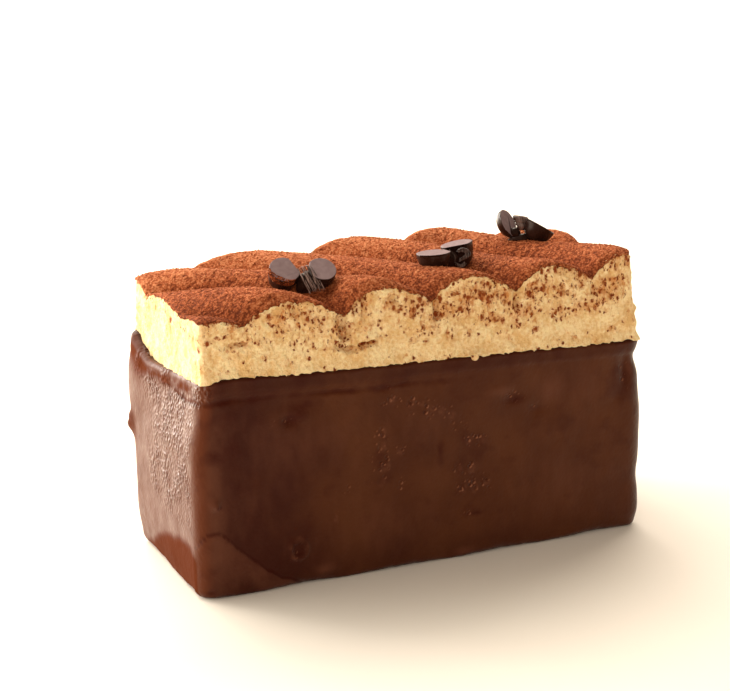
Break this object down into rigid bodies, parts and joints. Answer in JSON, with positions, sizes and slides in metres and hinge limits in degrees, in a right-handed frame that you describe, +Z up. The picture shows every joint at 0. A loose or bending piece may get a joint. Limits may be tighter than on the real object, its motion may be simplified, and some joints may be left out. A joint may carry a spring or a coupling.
{
  "type": "espresso gateau",
  "caption": "Long individual espresso gateau: a chocolate-coated block under coffee cream piped in slanting ropes, dusted with cocoa and topped with snapped chocolate coffee beans.",
  "frame": {"origin": "middle of the box round the whole gateau, on the flat underside of the chocolate block", "axes": "+X along the cake towards its lower end, +Z up, -Y the cut front face, towards the viewer of the picture"},
  "size_m": [0.0996, 0.0414, 0.0651],
  "materials": {
    "chocolate_coat": "satin",
    "coffee_cream": "matte, porous",
    "cocoa": "powdery",
    "bean_chocolate": "satin"
  },
  "bodies": {
    "root": {"chocolate_block": "chocolate_coat", "coffee_cream": "coffee_cream", "cocoa_dusting": "cocoa", "chocolate_bean_left": "bean_chocolate", "chocolate_bean_middle": "bean_chocolate", "chocolate_bean_right": "bean_chocolate"}
  },
  "joints": []
}
